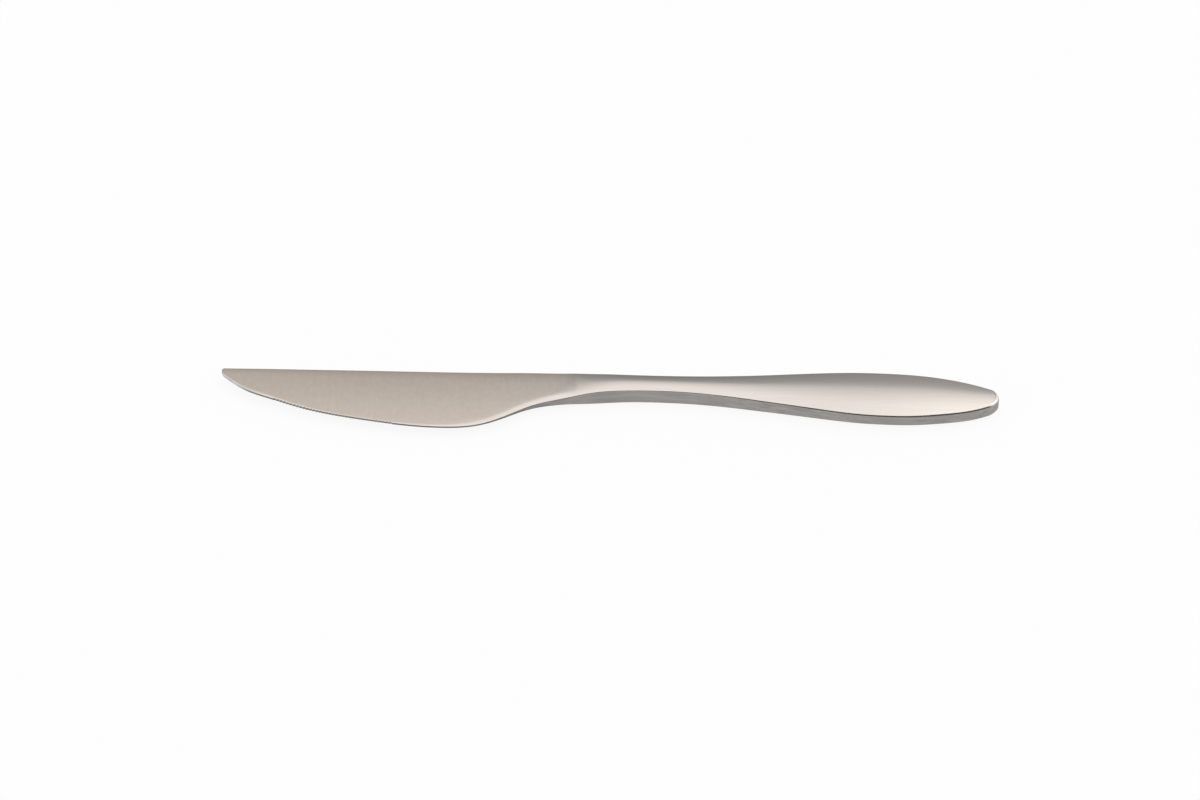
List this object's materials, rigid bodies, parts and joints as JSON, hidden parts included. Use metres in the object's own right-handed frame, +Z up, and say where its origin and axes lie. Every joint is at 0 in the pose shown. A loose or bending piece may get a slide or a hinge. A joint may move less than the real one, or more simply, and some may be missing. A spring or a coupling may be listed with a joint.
{
  "type": "table knife",
  "caption": "Steel table knife with a straight spine, a deep rounded edge with fine teeth, a slim neck and a solid handle with flat sides and crowned faces.",
  "frame": {"origin": "under the middle of the knife's bounding box, on the surface that it lies on", "axes": "+X along the knife from the tip to the end of the handle, +Y towards the spine, +Z up, out of the upper face"},
  "size_m": [0.235, 0.0228, 0.0065],
  "materials": {
    "blade_steel": "satin, fine ground, martensitic stainless steel",
    "handle_steel": "polished faces, side walls brushed lengthways, austenitic stainless steel",
    "weld_steel": "ground flush and brushed like the handle"
  },
  "bodies": {
    "root": {"blade": "blade_steel", "handle": "handle_steel", "weld_seam": "weld_steel"}
  },
  "joints": []
}
